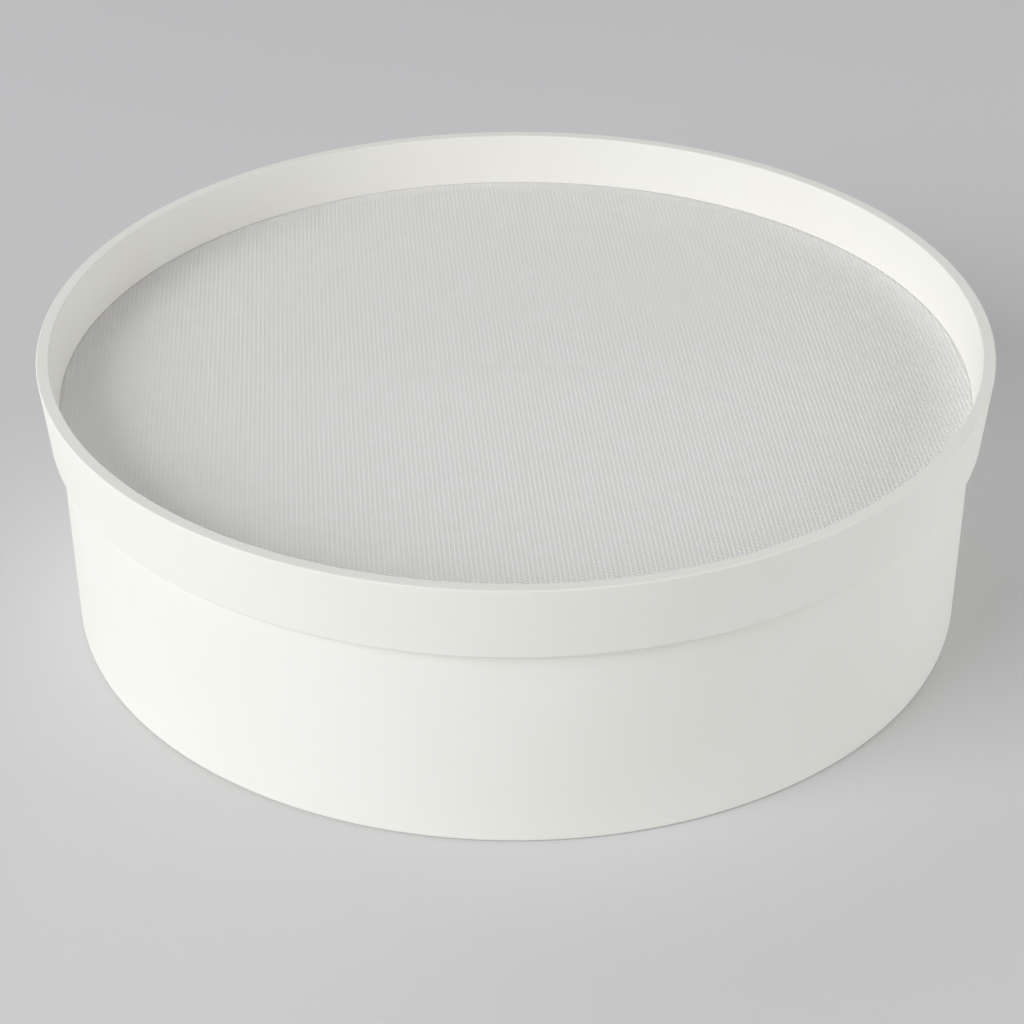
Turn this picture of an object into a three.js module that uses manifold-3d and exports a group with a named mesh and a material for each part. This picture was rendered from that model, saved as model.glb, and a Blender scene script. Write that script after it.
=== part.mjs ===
// Flour sieve: a white plastic hoop, a woven nylon cloth stretched over its top edge, and a flared collar
// that is pushed down over both and pinches the cloth.
// Millimetres, +Z up. The origin is the centre of the hoop's foot, on the table.

import * as THREE from "three";
import { mergeVertices } from "three/addons/utils/BufferGeometryUtils.js";
import Module from "manifold-3d";

// Collar
const RIM_DIAMETER = 300; // outside, across the top edge
const RIM_WALL = 4; // wall at the top edge
const COLLAR_TAPER = 2.2; // how much smaller its outside radius is at the lower edge
const COLLAR_SKIRT_WALL = 2.2; // wall of the skirt that grips the hoop
const TRAY_DEPTH = 17.1; // from the rim down to the shoulder that holds the cloth
const SKIRT_DEPTH = 6.6; // from that shoulder down to the lower edge
const SHOULDER = 0.5; // how far the shoulder reaches in over the hoop's edge
const RIM_ROUND = 0.8; // rounding of the rim's two edges
const SKIRT_ROUND = 0.7; // rounding of the skirt's lower edges

// Hoop
const HOOP_HEIGHT = 72.4; // from the foot to the edge that carries the cloth
const HOOP_WALL = 3.8;
const HOOP_TAPER = 0.8; // how much smaller its radius is at the foot
const NOSE_OUTER_ROUND = 0.3; // rounding of the edge where the cloth turns down
const NOSE_INNER_ROUND = 1.2; // rounding of the upper edge towards the middle
const FOOT_ROUND = 1.1; // rounding of the foot's two edges

// Cloth
const CLOTH_THICKNESS = 0.9; // a front-to-back thread and the finer cross threads over and under it
const MARGIN_THICKNESS = 0.4; // the turned-down margin, squeezed flat by the collar
const MARGIN_DEPTH = 5.4; // how far the margin hangs down beside the hoop
const STRAND_PITCH = 15.95; // one strand of the net for every eleven front-to-back threads of the weave
const STRAND_WIDTH = 2.1; // about as much nylon as the threads that it stands for
const WEAVE_TURN = 4.4; // degrees that the weave is turned from the front
const LEAST_GAP = 2.5; // a gap that the border clips is left out if less than this of it is left

// Fits and facets
const GRIP_GAP = 0.2; // between the cloth's margin and each hoop
const SEAT_GAP = 0.3; // between the cloth and what it lies on or under
const FACETS = 96; // around the axis
const ROUND_STEPS = 3; // facets of a rounded edge

const rimRadius = RIM_DIAMETER / 2;
const skirtRadius = rimRadius - COLLAR_TAPER;
const skirtBore = skirtRadius - COLLAR_SKIRT_WALL;
const marginOutside = skirtBore - GRIP_GAP;
const marginInside = marginOutside - MARGIN_THICKNESS;
const hoopRadius = marginInside - GRIP_GAP;
const footRadius = hoopRadius - HOOP_TAPER;
const clothBottom = HOOP_HEIGHT + SEAT_GAP;
const clothTop = clothBottom + CLOTH_THICKNESS;
const shoulderHeight = clothTop + SEAT_GAP;
const rimHeight = shoulderHeight + TRAY_DEPTH;
const skirtFoot = shoulderHeight - SKIRT_DEPTH;

const whitePlastic = new THREE.MeshStandardMaterial({ color: 0xe9e9e4, roughness: 0.42, metalness: 0 });
const nylonCloth = new THREE.MeshStandardMaterial({ color: 0xdedfdb, roughness: 0.5, metalness: 0 });

// A closed outline in radius and height. Each corner is [radius, height, rounding].
function roundedOutline(corners) {
  const outline = [];
  corners.forEach(([radius, height, rounding], i) => {
    const corner = new THREE.Vector2(radius, height);
    if (!rounding) {
      outline.push(corner);
      return;
    }
    const neighbour = (step) => {
      const [r, h] = corners[(i + step + corners.length) % corners.length];
      return new THREE.Vector2(r, h).sub(corner).normalize();
    };
    const before = neighbour(-1);
    const after = neighbour(1);
    const half = before.angleTo(after) / 2;
    const start = corner.clone().addScaledVector(before, rounding / Math.tan(half));
    const middle = before.clone().add(after).normalize();
    const centre = corner.clone().addScaledVector(middle, rounding / Math.sin(half));
    const sweep = (Math.PI - 2 * half) * Math.sign(after.cross(before));
    for (let step = 0; step <= ROUND_STEPS; step += 1) {
      outline.push(start.clone().rotateAround(centre, (sweep * step) / ROUND_STEPS));
    }
  });
  outline.push(outline[0].clone());
  return outline;
}

// A ring or disc turned about the Z axis.
function turned(outline) {
  return new THREE.LatheGeometry(outline, FACETS).rotateX(Math.PI / 2);
}

function flatRing(inside, outside, bottom, top) {
  return turned(
    roundedOutline([
      [outside, bottom],
      [outside, top],
      [inside, top],
      [inside, bottom],
    ]),
  );
}

function disc(radius, bottom, top) {
  return turned([
    new THREE.Vector2(0, bottom),
    new THREE.Vector2(radius, bottom),
    new THREE.Vector2(radius, top),
    new THREE.Vector2(0, top),
  ]);
}

const wasm = await Module();
wasm.setup();

function toSolid(geometry) {
  const bare = geometry.clone().deleteAttribute("normal").deleteAttribute("uv");
  const merged = mergeVertices(bare);
  return new wasm.Manifold(
    new wasm.Mesh({
      numProp: 3,
      vertProperties: new Float32Array(merged.attributes.position.array),
      triVerts: new Uint32Array(merged.index.array),
    }),
  );
}

function toGeometry(solid) {
  const { vertProperties, triVerts } = solid.getMesh();
  const geometry = new THREE.BufferGeometry();
  geometry.setAttribute("position", new THREE.BufferAttribute(vertProperties, 3));
  geometry.setIndex(new THREE.BufferAttribute(triVerts, 1));
  geometry.computeVertexNormals();
  return geometry;
}

// The collar: a wall that flares out to the rim, a shoulder that rests on the cloth's edge,
// and a skirt round the hoop.
function collarRing() {
  return turned(
    roundedOutline([
      [skirtRadius, skirtFoot, SKIRT_ROUND],
      [rimRadius, rimHeight, RIM_ROUND],
      [rimRadius - RIM_WALL, rimHeight, RIM_ROUND],
      [hoopRadius - SHOULDER, shoulderHeight],
      [skirtBore, shoulderHeight],
      [skirtBore, skirtFoot, SKIRT_ROUND],
    ]),
  );
}

// The hoop: straight where the collar grips it, then drawn in slightly down to the foot.
function lowerHoop() {
  return turned(
    roundedOutline([
      [footRadius, 0, FOOT_ROUND],
      [hoopRadius, skirtFoot],
      [hoopRadius, HOOP_HEIGHT, NOSE_OUTER_ROUND],
      [hoopRadius - HOOP_WALL, HOOP_HEIGHT, NOSE_INNER_ROUND],
      [footRadius - HOOP_WALL, 0, FOOT_ROUND],
    ]),
  );
}

// The stretched cloth: a disc cut by square gaps that end at the hoop's inner wall.
function sieveNet() {
  const openRadius = hoopRadius - HOOP_WALL;
  const count = Math.ceil(openRadius / STRAND_PITCH);
  const gapSide = STRAND_PITCH - STRAND_WIDTH;
  const cutBottom = clothBottom - CLOTH_THICKNESS;
  const cutTop = clothTop + CLOTH_THICKNESS;
  const gaps = [];
  for (let column = -count; column < count; column += 1) {
    for (let row = -count; row < count; row += 1) {
      const middle = new THREE.Vector2(column + 0.5, row + 0.5).multiplyScalar(STRAND_PITCH);
      const inner = new THREE.Vector2(Math.abs(middle.x), Math.abs(middle.y)).subScalar(gapSide / 2);
      if (inner.length() < openRadius - LEAST_GAP) {
        const gap = new THREE.BoxGeometry(gapSide, gapSide, cutTop - cutBottom);
        gap.translate(middle.x, middle.y, (cutTop + cutBottom) / 2);
        gaps.push(toSolid(gap.rotateZ(THREE.MathUtils.degToRad(WEAVE_TURN))));
      }
    }
  }
  const open = wasm.Manifold.union(gaps).intersect(toSolid(disc(openRadius, cutBottom, cutTop)));
  return toGeometry(toSolid(disc(marginOutside, clothBottom, clothTop)).subtract(open));
}

// The cloth's margin, turned down over the hoop's edge and held between hoop and collar.
function netMargin() {
  return flatRing(marginInside, marginOutside, HOOP_HEIGHT - MARGIN_DEPTH, HOOP_HEIGHT);
}

const sieve = new THREE.Group();
sieve.name = "flour_sieve";

function addPiece(name, geometry, material) {
  const piece = new THREE.Mesh(geometry, material);
  piece.name = name;
  sieve.add(piece);
}

addPiece("lower_hoop", lowerHoop(), whitePlastic);
addPiece("sieve_net", sieveNet(), nylonCloth);
addPiece("net_margin", netMargin(), nylonCloth.clone());
addPiece("collar_ring", collarRing(), whitePlastic.clone());

export default sieve;
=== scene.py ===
"""Flour sieve: two turned plastic rings and a plain-woven nylon cloth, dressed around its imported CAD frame.

The hoop and the collar are drawn out ring by ring from a circle. The cloth is woven thread by thread at its
true pitch, laid flat over the hoop, pinched under the collar's shoulder and turned down between the two.
All lengths are in metres.
"""

import math
from collections import namedtuple

import bmesh
import bpy
import numpy as np
from bpy.props import (
    FloatProperty,
    FloatVectorProperty,
    IntProperty,
    PointerProperty,
)
from mathutils import Matrix, Vector


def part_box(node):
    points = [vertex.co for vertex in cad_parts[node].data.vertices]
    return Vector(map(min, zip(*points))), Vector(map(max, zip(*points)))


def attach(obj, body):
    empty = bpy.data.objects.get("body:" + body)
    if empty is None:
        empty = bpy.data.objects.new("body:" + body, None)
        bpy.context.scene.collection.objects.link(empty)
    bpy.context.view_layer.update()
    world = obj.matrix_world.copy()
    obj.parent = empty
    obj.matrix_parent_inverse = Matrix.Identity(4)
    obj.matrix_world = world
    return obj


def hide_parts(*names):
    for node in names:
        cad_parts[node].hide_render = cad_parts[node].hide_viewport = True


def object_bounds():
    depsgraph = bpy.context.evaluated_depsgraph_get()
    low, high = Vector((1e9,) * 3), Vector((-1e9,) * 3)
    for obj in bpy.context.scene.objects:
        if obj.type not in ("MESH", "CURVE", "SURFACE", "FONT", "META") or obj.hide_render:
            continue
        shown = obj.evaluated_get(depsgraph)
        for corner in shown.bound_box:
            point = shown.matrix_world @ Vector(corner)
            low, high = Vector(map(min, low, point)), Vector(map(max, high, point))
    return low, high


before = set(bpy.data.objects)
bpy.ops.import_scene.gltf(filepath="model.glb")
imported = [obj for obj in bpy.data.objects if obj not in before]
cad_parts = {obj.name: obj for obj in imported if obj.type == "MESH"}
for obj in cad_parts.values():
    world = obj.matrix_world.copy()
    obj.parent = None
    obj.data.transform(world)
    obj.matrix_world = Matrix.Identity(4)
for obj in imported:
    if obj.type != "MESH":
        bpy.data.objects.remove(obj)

bl_info = {
    "name": "Flour Sieve",
    "version": (1, 0, 0),
    "blender": (4, 5, 0),
    "location": "View3D > Sidebar > Sieve",
    "description": "Models a plastic drum sieve with a woven nylon cloth around its CAD frame",
    "category": "Add Mesh",
}

CAD_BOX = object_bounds()
HOOP_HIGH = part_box("lower_hoop")[1]
COLLAR_LOW, COLLAR_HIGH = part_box("collar_ring")
NET_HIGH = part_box("sieve_net")[1]
MARGIN_LOW, MARGIN_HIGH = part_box("net_margin")

FULL_TURN = 2 * math.pi
QUARTER_TURN = math.pi / 2

WARP_HEIGHT = 0.00018
WEFT_HEIGHT = 0.00015
CLOTH_THICKNESS = WARP_HEIGHT + 2 * WEFT_HEIGHT
CLOTH_UNDERSIDE = NET_HIGH.z - CLOTH_THICKNESS
PINCH = 0.6
SEAT_GAP = 0.00002

# How near a point lies to the corner of the outline that it was drawn out to
ON_CORNER = 0.00001

# Share of a pitch, beyond half a pitch, that the last thread keeps from the cut edge
EDGE_ROOM = 0.75

# Keeps the direction of a point in the cloth's middle from being divided by nothing
LEAST_RADIUS = 1e-9

# Edges that turn by less than this are shaded smooth
RING_SMOOTHING = math.radians(35)
THREAD_SMOOTHING = math.radians(80)

FLOOR_SIZE = 30.0
SENSOR_WIDTH = 36.0
NEAREST_SEEN = 0.05

Corner = namedtuple("Corner", "radius height rounding")


def length(name, description, default):
    """A size in metres, shown in the scene's own unit."""
    return FloatProperty(
        name=name,
        description=description,
        default=default,
        min=0.0,
        precision=5,
        subtype="DISTANCE",
        unit="LENGTH",
    )


def degrees(name, description, default):
    """An angle, written in degrees."""
    return FloatProperty(
        name=name,
        description=description,
        default=math.radians(default),
        subtype="ANGLE",
        unit="ROTATION",
    )


def share(name, description, default):
    """A part of a whole, from 0 to 1."""
    return FloatProperty(
        name=name,
        description=description,
        default=default,
        min=0.0,
        max=1.0,
        subtype="FACTOR",
    )


def power(name, description, default):
    """A lamp's power in watts."""
    return FloatProperty(
        name=name,
        description=description,
        default=default,
        min=0.0,
        subtype="POWER",
        unit="POWER",
    )


def colour(name, description, default):
    """A surface or lamp colour."""
    return FloatVectorProperty(
        name=name,
        description=description,
        default=default,
        size=3,
        min=0.0,
        max=1.0,
        subtype="COLOR",
    )


def point(name, description, default):
    """A place in the shared frame."""
    return FloatVectorProperty(
        name=name,
        description=description,
        default=default,
        size=3,
        precision=4,
        subtype="TRANSLATION",
        unit="LENGTH",
    )


class SieveHoopSizes(bpy.types.PropertyGroup):
    """Sizes of the hoop that the sieve stands on."""

    height: length("Height", "From the foot to the edge that carries the cloth", CLOTH_UNDERSIDE - SEAT_GAP)
    radius: length("Radius", "Outside, where the collar grips it", HOOP_HIGH.x)
    wall: length("Wall", "Thickness of the wall", 0.0038)
    taper: length("Taper", "How much smaller the radius is at the foot", 0.0008)
    nose_outer_round: length("Outer Nose Rounding", "Edge where the cloth turns down", 0.0003)
    nose_inner_round: length("Inner Nose Rounding", "Upper edge towards the middle", 0.0012)
    foot_round: length("Foot Rounding", "Both edges of the foot", 0.0011)


class SieveCollarSizes(bpy.types.PropertyGroup):
    """Sizes of the flared collar that forms the rim."""

    rim_height: length("Rim Height", "Top of the rim above the table", COLLAR_HIGH.z)
    skirt_foot: length("Skirt Foot", "Lower edge of the skirt above the table", COLLAR_LOW.z)
    rim_radius: length("Rim Radius", "Outside, at the sharp corner of the rim", 0.14996)
    rim_wall: length("Rim Wall", "Thickness of the wall at the rim", 0.004)
    taper: length("Taper", "How much smaller the radius is at the lower edge", 0.0022)
    skirt_wall: length("Skirt Wall", "Thickness of the skirt round the hoop", 0.0022)
    shoulder: length("Shoulder", "How far the shoulder reaches in over the hoop's edge", 0.0005)
    shoulder_height: length(
        "Shoulder Height", "Underside of the shoulder", CLOTH_UNDERSIDE + PINCH * CLOTH_THICKNESS + SEAT_GAP
    )
    rim_round: length("Rim Rounding", "Both edges of the rim", 0.00045)
    skirt_round: length("Skirt Rounding", "Lower edges of the skirt", 0.0007)


class SieveClothSizes(bpy.types.PropertyGroup):
    """Sizes of the woven cloth."""

    warp_pitch: length("Warp Pitch", "From one front-to-back thread to the next", 0.00145)
    warp_width: length("Warp Width", "Width of a front-to-back thread", 0.00063)
    warp_height: length("Warp Height", "Thickness of a front-to-back thread", WARP_HEIGHT)
    weft_pitch: length("Weft Pitch", "From one cross thread to the next", 0.000725)
    weft_width: length("Weft Width", "Width of a cross thread", 0.00067)
    weft_height: length("Weft Height", "Thickness of a cross thread", WEFT_HEIGHT)
    turn: degrees("Turn", "Turn of the weave from the front", 4.4)
    fold_round: length("Fold Rounding", "Bend of the cloth over the hoop's edge", 0.0004)
    pinch: share("Pinch", "Share of its thickness that is left under the collar's shoulder", PINCH)
    margin_thickness: length("Margin Thickness", "Of the margin beside the hoop", 0.0005)
    warp_sides: IntProperty(name="Warp Sides", description="Facets round a front-to-back thread", default=8)
    weft_sides: IntProperty(name="Weft Sides", description="Facets round a cross thread", default=5)


class SieveFinishes(bpy.types.PropertyGroup):
    """Colours of the pieces."""

    hoop: colour("Hoop", "White plastic of the hoop", (0.895, 0.885, 0.835))
    hoop_shade: colour("Hoop Shade", "Its slightly warmer cloudy patches", (0.88, 0.868, 0.813))
    # The collar's colour and its cloudy patches are set a little darker than the hoop's: painted shade
    # standing in for the lesser light on its down-facing flared wall.
    collar: colour("Collar", "White plastic of the collar", (0.885, 0.875, 0.822))
    collar_shade: colour("Collar Shade", "Its slightly warmer cloudy patches", (0.87, 0.858, 0.80))
    nylon: colour("Nylon", "White nylon thread", (0.957, 0.95, 0.93))
    nylon_shade: colour("Nylon Shade", "Duller stretches of thread", (0.942, 0.933, 0.907))


class SieveStage(bpy.types.PropertyGroup):
    """Camera, lamps and floor."""

    camera_place: point("Camera", "Where the camera stands", (0.0, -0.73945, 0.48697))
    camera_aim: point("Aim", "The point that the camera looks at", (-0.001385, 0.0, 0.0218))
    camera_roll: degrees("Roll", "Tilt of the camera about its view", -0.245)
    camera_lens: FloatProperty(
        name="Lens",
        description="Focal length in millimetres",
        default=93.16,
        subtype="DISTANCE_CAMERA",
        unit="CAMERA",
    )
    key_place: point("Key Light", "Where the key lamp hangs, at the front left", (-1.866, -1.406, 1.185))
    key_power: power("Key Power", "Watts of the key lamp", 52.5)
    key_size: length("Key Size", "Side of the key lamp's square", 1.8)
    rear_place: point("Rear Light", "Where the lamp at the back left hangs", (-0.996, 1.725, 1.716))
    rear_power: power("Rear Power", "Watts of the rear lamp", 11.0)
    rear_size: length("Rear Size", "Side of the rear lamp's square", 1.8)
    side_place: point("Side Light", "Where the lamp at the right hangs", (1.222, 0.0, 0.490))
    side_power: power("Side Power", "Watts of the side lamp", 4.2)
    side_size: length("Side Size", "Side of the side lamp's square", 0.9)
    fill_place: point("Fill Light", "Where the low lamp at the front right hangs", (1.101, -0.636, 0.315))
    fill_power: power("Fill Power", "Watts of the fill lamp", 3.3)
    fill_size: length("Fill Size", "Side of the fill lamp's square", 0.9)
    lamp_tint: colour("Lamp Tint", "Colour of the lamps", (0.966, 0.976, 1.0))
    world_strength: FloatProperty(
        name="Room Light",
        description="Strength of the even light from all round",
        default=0.285,
        min=0.0,
    )
    room: colour("Room", "Colour of the even light", (1.0, 1.0, 1.0))
    floor: colour("Floor", "Plain pale floor", (0.7, 0.7, 0.7))


# Modelling


def clear_selection():
    """Leaves nothing selected, so that an operator acts only on what comes next."""
    bpy.ops.object.select_all(action="DESELECT")


def pick_rings(piece, corners):
    """In edit mode, selects the rings of edges that run round the axis through these corners."""
    bpy.ops.mesh.select_all(action="DESELECT")
    mesh = bmesh.from_edit_mesh(piece.data)

    def on(vertex, corner):
        away = math.hypot(vertex.co.x, vertex.co.y) - corner.radius
        return abs(away) < ON_CORNER and abs(vertex.co.z - corner.height) < ON_CORNER

    for edge in mesh.edges:
        if any(all(on(v, corner) for v in edge.verts) for corner in corners):
            edge.select = True
    mesh.select_flush(True)
    bmesh.update_edit_mesh(piece.data)


def tangent_length(corners, i):
    """How far along its two walls the rounding of a corner reaches."""
    here, before, after = (Vector(corners[k % len(corners)][:2]) for k in (i, i - 1, i + 1))
    half = (before - here).angle(after - here) / 2
    return corners[i].rounding / math.tan(half)


def turned_ring(name, corners, facets=288, round_segments=6):
    """A closed ring: a circle drawn out from corner to corner of its outline, bridged and rounded."""
    clear_selection()
    start = corners[0]
    bpy.ops.mesh.primitive_circle_add(
        vertices=facets, radius=start.radius, location=(0, 0, start.height)
    )
    bpy.ops.object.transform_apply(location=True, rotation=False, scale=False)
    ring = bpy.context.object
    ring.name = name
    ring.data.name = name
    bpy.ops.object.mode_set(mode="EDIT")
    bpy.ops.mesh.select_mode(type="EDGE")
    for last, corner in zip(corners, corners[1:]):
        rise = (0, 0, corner.height - last.height)
        bpy.ops.mesh.extrude_edges_move(TRANSFORM_OT_translate={"value": rise})
        grow = corner.radius / last.radius
        bpy.ops.transform.resize(value=(grow, grow, 1), center_override=(0, 0, 0))
    pick_rings(ring, [corners[0], corners[-1]])
    bpy.ops.mesh.bridge_edge_loops()
    bpy.ops.mesh.select_all(action="SELECT")
    bpy.ops.mesh.normals_make_consistent(inside=False)
    for i, corner in enumerate(corners):
        if corner.rounding:
            pick_rings(ring, [corner])
            bpy.ops.mesh.bevel(
                offset=tangent_length(corners, i),
                offset_type="OFFSET",
                segments=round_segments,
                profile=0.5,
                affect="EDGES",
            )
    bpy.ops.object.mode_set(mode="OBJECT")
    bpy.ops.object.shade_smooth_by_angle(angle=RING_SMOOTHING)
    weighted = ring.modifiers.new("broad_walls_lead", "WEIGHTED_NORMAL")
    weighted.keep_sharp = True
    bpy.ops.object.modifier_apply(modifier=weighted.name)
    require_closed(ring)
    return ring


def require_closed(piece):
    """Stops with an error if an edge of the piece has other than two faces."""
    mesh = bmesh.new()
    mesh.from_mesh(piece.data)
    open_edges = sum(not edge.is_manifold for edge in mesh.edges)
    mesh.free()
    if open_edges:
        raise RuntimeError(f"{piece.name} has {open_edges} open edges")


def hoop_outline(hoop, grip_foot):
    """Straight where the collar grips it, then drawn in slightly down to the foot."""
    foot = hoop.radius - hoop.taper
    return [
        Corner(foot, 0, hoop.foot_round),
        Corner(hoop.radius, grip_foot, 0),
        Corner(hoop.radius, hoop.height, hoop.nose_outer_round),
        Corner(hoop.radius - hoop.wall, hoop.height, hoop.nose_inner_round),
        Corner(foot - hoop.wall, 0, hoop.foot_round),
    ]


def collar_outline(collar, hoop):
    """A wall that flares out to the rim, a shoulder on the cloth's edge and a skirt round the hoop."""
    skirt = collar.rim_radius - collar.taper
    bore = skirt - collar.skirt_wall
    shoulder = collar.shoulder_height
    return [
        Corner(skirt, collar.skirt_foot, collar.skirt_round),
        Corner(collar.rim_radius, collar.rim_height, collar.rim_round),
        Corner(collar.rim_radius - collar.rim_wall, collar.rim_height, collar.rim_round),
        Corner(hoop.radius - collar.shoulder, shoulder, 0),
        Corner(bore, shoulder, 0),
        Corner(bore, collar.skirt_foot, collar.skirt_round),
    ]


# Cloth


class Weave:
    """The weave of one cloth: straight front-to-back threads, finer cross threads that bend round them,
    a pinched border and a margin turned down over the hoop's edge."""

    def __init__(self, cloth, shoulder_edge):
        self.cloth = cloth
        self.pinch_start = shoulder_edge - cloth.warp_pitch
        self.thickness = cloth.warp_height + 2 * cloth.weft_height
        self.middle = NET_HIGH.z - self.thickness / 2
        self.fold_start = (MARGIN_HIGH.x - cloth.margin_thickness / 2) - cloth.fold_round
        self.fold_length = cloth.fold_round * QUARTER_TURN
        hang = self.middle - cloth.fold_round - MARGIN_LOW.z
        self.cut_radius = self.fold_start + self.fold_length + hang

    def rows(self, pitch):
        """How many threads of this pitch lie between the middle and the cut edge."""
        return int(self.cut_radius / pitch - EDGE_ROOM)

    def crossings(self, offset, pitch):
        """Places at this pitch along half a thread at this offset from the middle, and the thread's end."""
        end = math.sqrt(self.cut_radius**2 - offset**2)
        return (np.arange(int(end / pitch - EDGE_ROOM)) + 0.5) * pitch, end

    def warp_run(self, offset):
        """Places of the rings of half a front-to-back thread. Its flat stretch needs none."""
        met, end = self.crossings(offset, self.cloth.warp_pitch)
        bent = met[np.hypot(met, offset) > self.pinch_start - self.cloth.warp_pitch]
        return np.concatenate([[0.0], bent, [end]])

    def weft_run(self, offset):
        """Places of the rings of half a cross thread, one at each thread that it bends round."""
        met, end = self.crossings(offset, self.cloth.warp_pitch)
        return np.concatenate([[0.0], met, [end]])

    def turned_down(self, flat):
        """Points of the flat cloth, with its border pinched and what lies outside the hoop bent down."""
        x, y, up = flat.T
        radius = np.maximum(np.hypot(x, y), LEAST_RADIUS)
        past = np.maximum(radius - self.fold_start, 0.0)
        bend = np.minimum(past, self.fold_length) / self.cloth.fold_round
        hang = np.maximum(past - self.fold_length, 0.0)
        half = self.thickness / 2
        pinched = np.where(radius > self.pinch_start, (up + half) * self.cloth.pinch - half, up)
        margin = up * self.cloth.margin_thickness / self.thickness
        up = pinched + (margin - pinched) * bend / QUARTER_TURN
        out = np.minimum(radius, self.fold_start) + (self.cloth.fold_round * (bend > 0) + up) * np.sin(bend)
        rise = (self.cloth.fold_round + up) * np.cos(bend) - self.cloth.fold_round
        return np.stack([x / radius * out, y / radius * out, self.middle + rise - hang], axis=1)


def thread_points(run, wave, offset, section, along, aside):
    """Rings of points of half a thread: places along it, heights of its middle, its offset from the cloth's
    middle, the outline of its section, and its directions along and aside as unit vectors."""
    across = offset + section[:, 0]
    up = wave[:, None] + section[:, 1]
    flat = run[:, None, None] * along + across[None, :, None] * aside
    return np.concatenate([flat, up[:, :, None]], axis=2)


def thread_faces(rings, sides, first):
    """The side faces of a thread, ring by ring, and the two faces that close its ends."""
    ring = first + np.arange(rings * sides).reshape(rings, sides)
    beside = np.roll(ring, -1, axis=1)
    walls = np.stack([ring[:-1], beside[:-1], beside[1:], ring[1:]], axis=2).reshape(-1, 4)
    return walls.tolist(), [ring[0].tolist(), ring[-1].tolist()]


def thread_map(places, sides, strip, strips):
    """Map places of a thread's faces: a strip of its own, with a small patch past each end for the end faces.
    Places run from 0 at its first ring to 1 at its last."""
    gutter = 0.1
    end_room = 0.02
    patch_along = end_room / 4
    patch_across = 0.3 / strips
    along = end_room + (1 - 2 * end_room) * places
    across = (strip + gutter + (1 - 2 * gutter) * np.arange(sides + 1) / sides) / strips
    grid = np.stack(np.meshgrid(along, across, indexing="ij"), axis=2)
    walls = np.stack([grid[:-1, :-1], grid[:-1, 1:], grid[1:, 1:], grid[1:, :-1]], axis=2)
    angle = FULL_TURN * np.arange(sides) / sides
    patch = np.stack([patch_along * np.cos(angle), patch_across * np.sin(angle)], axis=1)
    ends = [patch + (place, (strip + 0.5) / strips) for place in (end_room / 2, 1 - end_room / 2)]
    return walls.reshape(-1, 2), np.concatenate(ends)


def thread_section(width, height, sides):
    """The outline of a thread's section, starting at its top."""
    angle = FULL_TURN * np.arange(sides) / sides
    return np.stack([width / 2 * np.sin(angle), height / 2 * np.cos(angle)], axis=1)


def quarter_threads(weave, right, back):
    """The rings of all half threads of a quarter of the cloth, each with its places along the thread."""
    cloth = weave.cloth
    to_side, to_back = np.array([right, 0]), np.array([0, back])
    section = thread_section(cloth.warp_width, cloth.warp_height, cloth.warp_sides)
    for row in range(weave.rows(cloth.warp_pitch)):
        offset = (row + 0.5) * cloth.warp_pitch
        run = weave.warp_run(offset)
        yield run / run[-1], thread_points(run, 0 * run, offset, section, to_back, to_side)
    section = thread_section(cloth.weft_width, cloth.weft_height, cloth.weft_sides)
    bend = (cloth.warp_height + cloth.weft_height) / 2
    for row in range(weave.rows(cloth.weft_pitch)):
        offset = (row + 0.5) * cloth.weft_pitch
        run = weave.weft_run(offset)
        over = right * (-1) ** (row if back > 0 else row + 1)
        wave = over * bend * np.sin(math.pi * run / cloth.warp_pitch)
        yield run / run[-1], thread_points(run, wave, offset, section, to_side, to_back)


def quarter_mesh(name, weave, right, back):
    """The mesh of a quarter of the cloth with its map, the number of its threads' side faces, which come
    first, and a mark for each point that lies in a thread's first ring."""
    threads = list(quarter_threads(weave, right, back))
    points, first_ring, walls, ends, wall_map, end_map = [], [], [], [], [], []
    count = 0
    for strip, (places, rings) in enumerate(threads):
        sides = rings.shape[1]
        wall_faces, end_faces = thread_faces(len(rings), sides, count)
        strip_walls, strip_ends = thread_map(places, sides, strip, len(threads))
        points.append(rings.reshape(-1, 3))
        first_ring.append(np.arange(len(rings) * sides) < sides)
        walls += wall_faces
        ends += end_faces
        wall_map.append(strip_walls)
        end_map.append(strip_ends)
        count += len(rings) * sides
    shaped = weave.turned_down(np.concatenate(points))
    turn = np.array(Matrix.Rotation(weave.cloth.turn, 2))
    shaped[:, :2] = shaped[:, :2] @ turn.T
    mesh = bpy.data.meshes.new(name)
    mesh.from_pydata(shaped.tolist(), [], walls + ends)
    strips = mesh.uv_layers.new(name="OFBake")
    strips.uv.foreach_set("vector", np.concatenate(wall_map + end_map).astype(np.float32).ravel())
    return mesh, len(walls), np.concatenate(first_ring)


def level_first_rings(mesh, walls, first_ring):
    """Shades each thread at the quarter's straight side as it is shaded at its next ring, so that no line
    shows where the quarters meet."""
    points = np.empty(len(mesh.loops), dtype=np.int32)
    mesh.loops.foreach_get("vertex_index", points)
    normals = np.empty(3 * len(mesh.loops), dtype=np.float32)
    mesh.corner_normals.foreach_get("vector", normals)
    normals = normals.reshape(-1, 3)
    first = first_ring[points[: 4 * walls]].reshape(-1, 4)
    wall_normals = normals[: 4 * walls].reshape(-1, 4, 3)
    levelled = wall_normals.copy()
    for step in (1, -1):
        from_next = first & ~np.roll(first, step, axis=1)
        levelled[from_next] = np.roll(wall_normals, step, axis=1)[from_next]
    normals[: 4 * walls] = levelled.reshape(-1, 3)
    mesh.normals_split_custom_set(normals)


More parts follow.
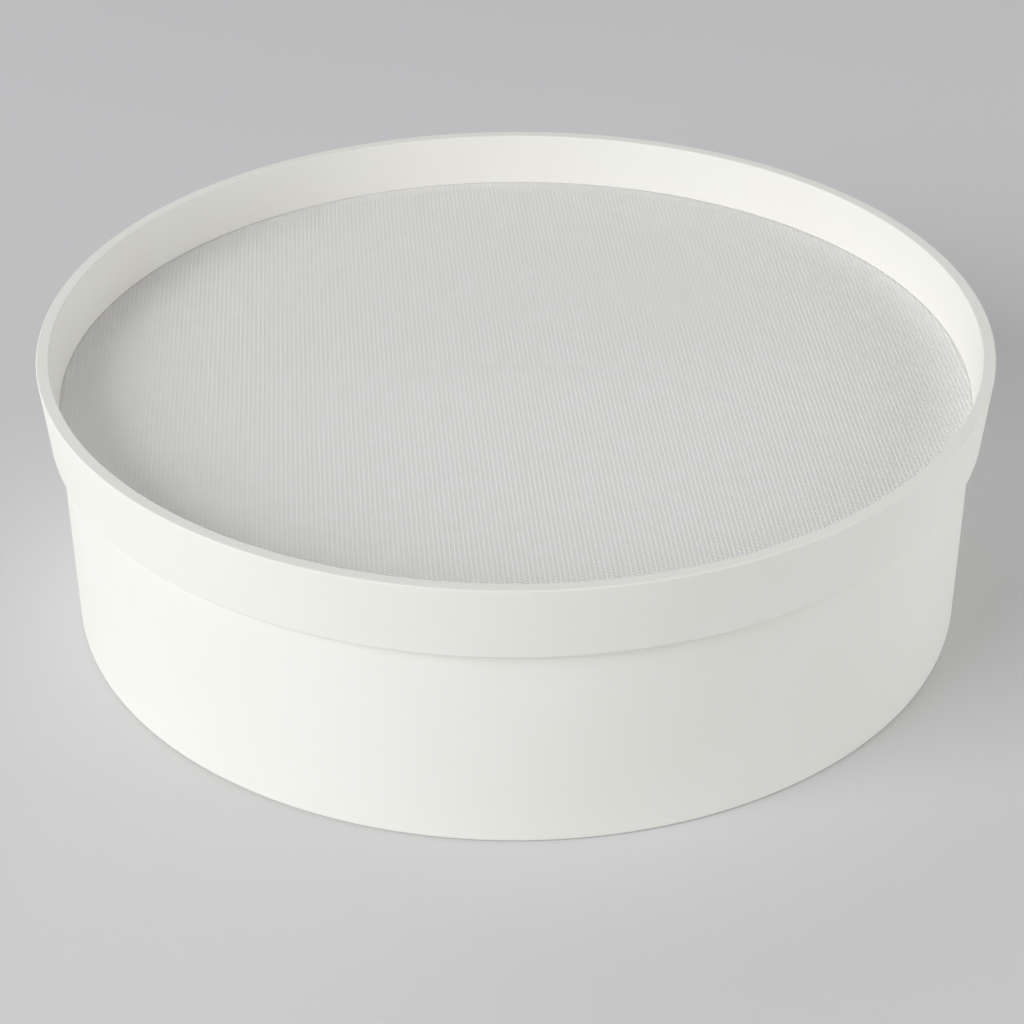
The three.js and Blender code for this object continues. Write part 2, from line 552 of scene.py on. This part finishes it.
def woven_quarter(name, weave, right, back):
    """A quarter of the cloth, with the halves of all threads that run out from its two straight sides."""
    mesh, walls, first_ring = quarter_mesh(name, weave, right, back)
    quarter = bpy.data.objects.new(name, mesh)
    bpy.context.scene.collection.objects.link(quarter)
    clear_selection()
    quarter.select_set(True)
    bpy.context.view_layer.objects.active = quarter
    bpy.ops.object.mode_set(mode="EDIT")
    bpy.ops.mesh.select_all(action="SELECT")
    bpy.ops.mesh.normals_make_consistent(inside=False)
    bpy.ops.object.mode_set(mode="OBJECT")
    bpy.ops.object.shade_smooth_by_angle(angle=THREAD_SMOOTHING)
    level_first_rings(mesh, walls, first_ring)
    require_closed(quarter)
    return quarter


# Materials


def new_node(tree, kind, **settings):
    """A node of that kind with its own settings."""
    node = tree.nodes.new(kind)
    for name, value in settings.items():
        setattr(node, name, value)
    return node


def surface_group():
    """Cloudy colour, uneven gloss and fine grain, for any of the sieve's surfaces."""
    name = "sieve_surface"
    if name in bpy.data.node_groups:
        return bpy.data.node_groups[name]
    group = bpy.data.node_groups.new(name, "ShaderNodeTree")
    for label, kind in (
        ("Colour", "NodeSocketColor"),
        ("Shade", "NodeSocketColor"),
        ("Cloud Scale", "NodeSocketFloat"),
        ("Grain Scale", "NodeSocketFloat"),
        ("Least Roughness", "NodeSocketFloat"),
        ("Most Roughness", "NodeSocketFloat"),
    ):
        group.interface.new_socket(name=label, in_out="INPUT", socket_type=kind)
    for label, kind in (
        ("Colour", "NodeSocketColor"),
        ("Roughness", "NodeSocketFloat"),
        ("Height", "NodeSocketFloat"),
    ):
        group.interface.new_socket(name=label, in_out="OUTPUT", socket_type=kind)
    link = group.links.new
    given = new_node(group, "NodeGroupInput")
    made = new_node(group, "NodeGroupOutput")
    place = new_node(group, "ShaderNodeTexCoord")
    cloud = new_node(group, "ShaderNodeTexNoise")
    cloud.inputs["Detail"].default_value = 3.0
    link(place.outputs["Object"], cloud.inputs["Vector"])
    link(given.outputs["Cloud Scale"], cloud.inputs["Scale"])
    spread = new_node(group, "ShaderNodeMapRange", interpolation_type="SMOOTHSTEP")
    spread.inputs["From Min"].default_value = 0.35
    spread.inputs["From Max"].default_value = 0.65
    link(cloud.outputs["Fac"], spread.inputs["Value"])
    tint = new_node(group, "ShaderNodeMix", data_type="RGBA")
    link(spread.outputs["Result"], tint.inputs["Factor"])
    link(given.outputs["Colour"], tint.inputs["A"])
    link(given.outputs["Shade"], tint.inputs["B"])
    link(tint.outputs["Result"], made.inputs["Colour"])
    grain = new_node(group, "ShaderNodeTexNoise")
    grain.inputs["Detail"].default_value = 2.0
    link(place.outputs["Object"], grain.inputs["Vector"])
    link(given.outputs["Grain Scale"], grain.inputs["Scale"])
    link(grain.outputs["Fac"], made.inputs["Height"])
    grain_share = 0.5
    both = new_node(group, "ShaderNodeMath", operation="MULTIPLY_ADD")
    both.inputs[1].default_value = grain_share
    link(grain.outputs["Fac"], both.inputs[0])
    link(spread.outputs["Result"], both.inputs[2])
    gloss = new_node(group, "ShaderNodeMapRange")
    gloss.inputs["From Max"].default_value = 1 + grain_share
    link(both.outputs["Value"], gloss.inputs["Value"])
    link(given.outputs["Least Roughness"], gloss.inputs["To Min"])
    link(given.outputs["Most Roughness"], gloss.inputs["To Max"])
    link(gloss.outputs["Result"], made.inputs["Roughness"])
    return group


def sieve_material(name, base, shade, cloud_scale, grain_scale, roughness, shine, grain_depth):
    """A material of the shared surface group, with a bump as deep as grain_depth in metres."""
    material = bpy.data.materials.new(name)
    material.use_nodes = True
    tree = material.node_tree
    shader = tree.nodes["Principled BSDF"]
    surface = new_node(tree, "ShaderNodeGroup", node_tree=surface_group())
    surface.inputs["Colour"].default_value = (*base, 1)
    surface.inputs["Shade"].default_value = (*shade, 1)
    surface.inputs["Cloud Scale"].default_value = cloud_scale
    surface.inputs["Grain Scale"].default_value = grain_scale
    surface.inputs["Least Roughness"].default_value = roughness[0]
    surface.inputs["Most Roughness"].default_value = roughness[1]
    shader.inputs["Specular IOR Level"].default_value = shine
    bump = new_node(tree, "ShaderNodeBump")
    bump.inputs["Distance"].default_value = grain_depth
    tree.links.new(surface.outputs["Colour"], shader.inputs["Base Color"])
    tree.links.new(surface.outputs["Roughness"], shader.inputs["Roughness"])
    tree.links.new(surface.outputs["Height"], bump.inputs["Height"])
    tree.links.new(bump.outputs["Normal"], shader.inputs["Normal"])
    material.diffuse_color = (*base, 1)
    return material


def plastic_material(name, base, shade, cloud_scale):
    """Satin white moulded plastic."""
    return sieve_material(
        name,
        base,
        shade,
        cloud_scale=cloud_scale,
        grain_scale=2200.0,
        roughness=(0.6, 0.75),
        shine=0.3,
        grain_depth=0.00002,
    )


def nylon_material(finishes):
    """White nylon thread, duller than the plastic."""
    return sieve_material(
        "nylon_thread",
        finishes.nylon,
        finishes.nylon_shade,
        cloud_scale=160.0,
        grain_scale=5200.0,
        roughness=(0.6, 0.75),
        shine=0.2,
        grain_depth=0.00001,
    )


def floor_material(tint):
    """Plain matt paper, clear from below, so that the underside of the sieve can be looked at."""
    material = bpy.data.materials.new("floor_paper")
    material.use_nodes = True
    tree = material.node_tree
    shader = tree.nodes["Principled BSDF"]
    shader.inputs["Base Color"].default_value = (*tint, 1)
    shader.inputs["Roughness"].default_value = 0.9
    shader.inputs["Specular IOR Level"].default_value = 0.1
    side = new_node(tree, "ShaderNodeNewGeometry")
    clear = new_node(tree, "ShaderNodeBsdfTransparent")
    either = new_node(tree, "ShaderNodeMixShader")
    tree.links.new(side.outputs["Backfacing"], either.inputs["Fac"])
    tree.links.new(shader.outputs["BSDF"], either.inputs[1])
    tree.links.new(clear.outputs["BSDF"], either.inputs[2])
    tree.links.new(either.outputs["Shader"], tree.nodes["Material Output"].inputs["Surface"])
    return material


# Stage


def facing(place, aim):
    """The turn of a lamp or camera at a place that faces a point."""
    return (Vector(aim) - Vector(place)).to_track_quat("-Z", "Y")


def stand(name, data, place, turn):
    """Puts a lamp or camera at its place in the scene."""
    holder = bpy.data.objects.new(name, data)
    bpy.context.scene.collection.objects.link(holder)
    holder.location = place
    holder.rotation_mode = "QUATERNION"
    holder.rotation_quaternion = turn
    return holder


def lay_floor(tint):
    """A plain floor under the sieve's foot."""
    clear_selection()
    bpy.ops.mesh.primitive_plane_add(size=FLOOR_SIZE, location=(0, 0, 0))
    floor = bpy.context.object
    floor.name = "floor"
    floor.data.materials.append(floor_material(tint))


def hang_lamps(stage):
    """Four square soft lamps that face the middle of the sieve."""
    middle = (0, 0, CAD_BOX[1].z / 2)
    for name in ("key", "rear", "side", "fill"):
        lamp = bpy.data.lights.new(f"{name}_lamp", "AREA")
        lamp.shape = "SQUARE"
        lamp.size = getattr(stage, f"{name}_size")
        lamp.energy = getattr(stage, f"{name}_power")
        lamp.color = stage.lamp_tint
        place = getattr(stage, f"{name}_place")
        stand(lamp.name, lamp, place, facing(place, middle))


def light_room(stage):
    """Even light from all round."""
    world = bpy.data.worlds.new("room")
    world.use_nodes = True
    light = world.node_tree.nodes["Background"]
    light.inputs["Color"].default_value = (*stage.room, 1)
    light.inputs["Strength"].default_value = stage.world_strength
    bpy.context.scene.world = world


def set_camera(stage):
    """The camera, at the photograph's viewing angle."""
    lens = bpy.data.cameras.new("photo_camera")
    lens.sensor_width = SENSOR_WIDTH
    lens.lens = stage.camera_lens
    lens.clip_start = NEAREST_SEEN
    roll = Matrix.Rotation(stage.camera_roll, 3, "Z").to_quaternion()
    turn = facing(stage.camera_place, stage.camera_aim) @ roll
    bpy.context.scene.camera = stand("photo_camera", lens, stage.camera_place, turn)


# Operators


def dress(piece, body, slot, material, *nodes):
    """Fastens a finished piece to its body, gives it its material and hides the CAD nodes that it stands for.
    """
    piece.data.materials.clear()
    piece.data.materials.append(material)
    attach(piece, body)
    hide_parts(*nodes)


class SIEVE_OT_lower_hoop(bpy.types.Operator):
    """Turns the plain hoop that carries the cloth"""

    bl_idname = "sieve.lower_hoop"
    bl_label = "Lower Hoop"

    def execute(self, context):
        scene = context.scene
        colours = scene.sieve_finishes
        outline = hoop_outline(scene.sieve_hoop, scene.sieve_collar.skirt_foot)
        hoop = turned_ring("hoop_moulding", outline)
        material = plastic_material("hoop_plastic", colours.hoop, colours.hoop_shade, cloud_scale=14.0)
        dress(hoop, "hoop", "white_plastic", material, "lower_hoop")
        return {"FINISHED"}


class SIEVE_OT_collar_ring(bpy.types.Operator):
    """Turns the flared collar that holds the cloth down"""

    bl_idname = "sieve.collar_ring"
    bl_label = "Collar Ring"

    def execute(self, context):
        scene = context.scene
        colours = scene.sieve_finishes
        collar = turned_ring("collar_moulding", collar_outline(scene.sieve_collar, scene.sieve_hoop))
        # The collar's plastic is a little darker than the hoop's, which paints in the shade on its flared
        # wall.
        material = plastic_material("collar_plastic", colours.collar, colours.collar_shade, cloud_scale=19.0)
        dress(collar, "collar", "white_plastic", material, "collar_ring")
        return {"FINISHED"}


class SIEVE_OT_woven_cloth(bpy.types.Operator):
    """Weaves the cloth in four quarters and turns its margin down over the hoop"""

    bl_idname = "sieve.woven_cloth"
    bl_label = "Woven Cloth"

    def execute(self, context):
        scene = context.scene
        weave = Weave(scene.sieve_cloth, scene.sieve_hoop.radius - scene.sieve_collar.shoulder)
        material = nylon_material(scene.sieve_finishes)
        for name, right, back in (
            ("cloth_back_right", 1, 1),
            ("cloth_back_left", -1, 1),
            ("cloth_front_left", -1, -1),
            ("cloth_front_right", 1, -1),
        ):
            quarter = woven_quarter(name, weave, right, back)
            dress(quarter, "cloth", "nylon_cloth", material, "sieve_net", "net_margin")
        return {"FINISHED"}


class SIEVE_OT_stage(bpy.types.Operator):
    """Sets the floor, the lamps and the camera"""

    bl_idname = "sieve.stage"
    bl_label = "Stage"

    def execute(self, context):
        stage = context.scene.sieve_stage
        lay_floor(stage.floor)
        hang_lamps(stage)
        light_room(stage)
        set_camera(stage)
        context.scene.view_settings.view_transform = "Standard"
        return {"FINISHED"}


class SIEVE_PT_panel(bpy.types.Panel):
    """Lists the sieve's sizes and the operators that make its pieces"""

    bl_idname = "SIEVE_PT_panel"
    bl_label = "Flour Sieve"
    bl_space_type = "VIEW_3D"
    bl_region_type = "UI"
    bl_category = "Sieve"

    def draw(self, context):
        for settings, operator in PANEL_ROWS:
            box = self.layout.box()
            group = getattr(context.scene, settings)
            for name in group.__annotations__:
                box.prop(group, name)
            if operator:
                box.operator(operator)


SETTINGS = {
    "sieve_hoop": SieveHoopSizes,
    "sieve_collar": SieveCollarSizes,
    "sieve_cloth": SieveClothSizes,
    "sieve_finishes": SieveFinishes,
    "sieve_stage": SieveStage,
}
OPERATORS = (
    SIEVE_OT_lower_hoop,
    SIEVE_OT_collar_ring,
    SIEVE_OT_woven_cloth,
    SIEVE_OT_stage,
)
PANEL_ROWS = (
    ("sieve_finishes", None),
    ("sieve_hoop", SIEVE_OT_lower_hoop.bl_idname),
    ("sieve_collar", SIEVE_OT_collar_ring.bl_idname),
    ("sieve_cloth", SIEVE_OT_woven_cloth.bl_idname),
    ("sieve_stage", SIEVE_OT_stage.bl_idname),
)


def register():
    for name, settings in SETTINGS.items():
        bpy.utils.register_class(settings)
        setattr(bpy.types.Scene, name, PointerProperty(type=settings))
    for operator in OPERATORS:
        bpy.utils.register_class(operator)
    bpy.utils.register_class(SIEVE_PT_panel)


def unregister():
    bpy.utils.unregister_class(SIEVE_PT_panel)
    for operator in reversed(OPERATORS):
        bpy.utils.unregister_class(operator)
    for name, settings in reversed(SETTINGS.items()):
        delattr(bpy.types.Scene, name)
        bpy.utils.unregister_class(settings)


def main():
    register()
    bpy.ops.sieve.lower_hoop()
    bpy.ops.sieve.collar_ring()
    bpy.ops.sieve.woven_cloth()
    bpy.ops.sieve.stage()


if __name__ == "__main__":
    main()
